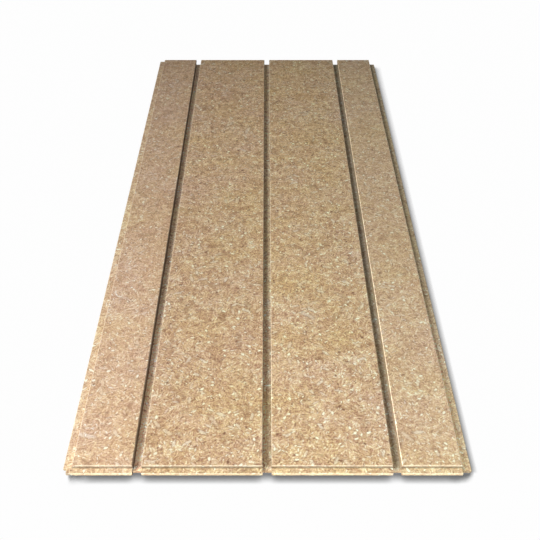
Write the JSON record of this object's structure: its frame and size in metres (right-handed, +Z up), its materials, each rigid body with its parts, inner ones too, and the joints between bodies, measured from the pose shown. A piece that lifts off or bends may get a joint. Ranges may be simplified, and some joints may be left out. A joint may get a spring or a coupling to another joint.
{
  "type": "underfloor heating panel",
  "caption": "Chipboard floor panel with open pipe channels along its top for underfloor heating, tongued on the front and left edges and grooved on the back and right.",
  "frame": {"origin": "on the underside, straight below the middle of the top face", "axes": "+Y along the channels from the tongued front end to the grooved back end, +X across from the tongued left side to the grooved right side, +Z up through the top face"},
  "size_m": [0.631, 1.2095, 0.022],
  "materials": {
    "chipboard": "sanded raw chipboard"
  },
  "bodies": {
    "root": {"grooved_panel": "chipboard"}
  },
  "joints": []
}
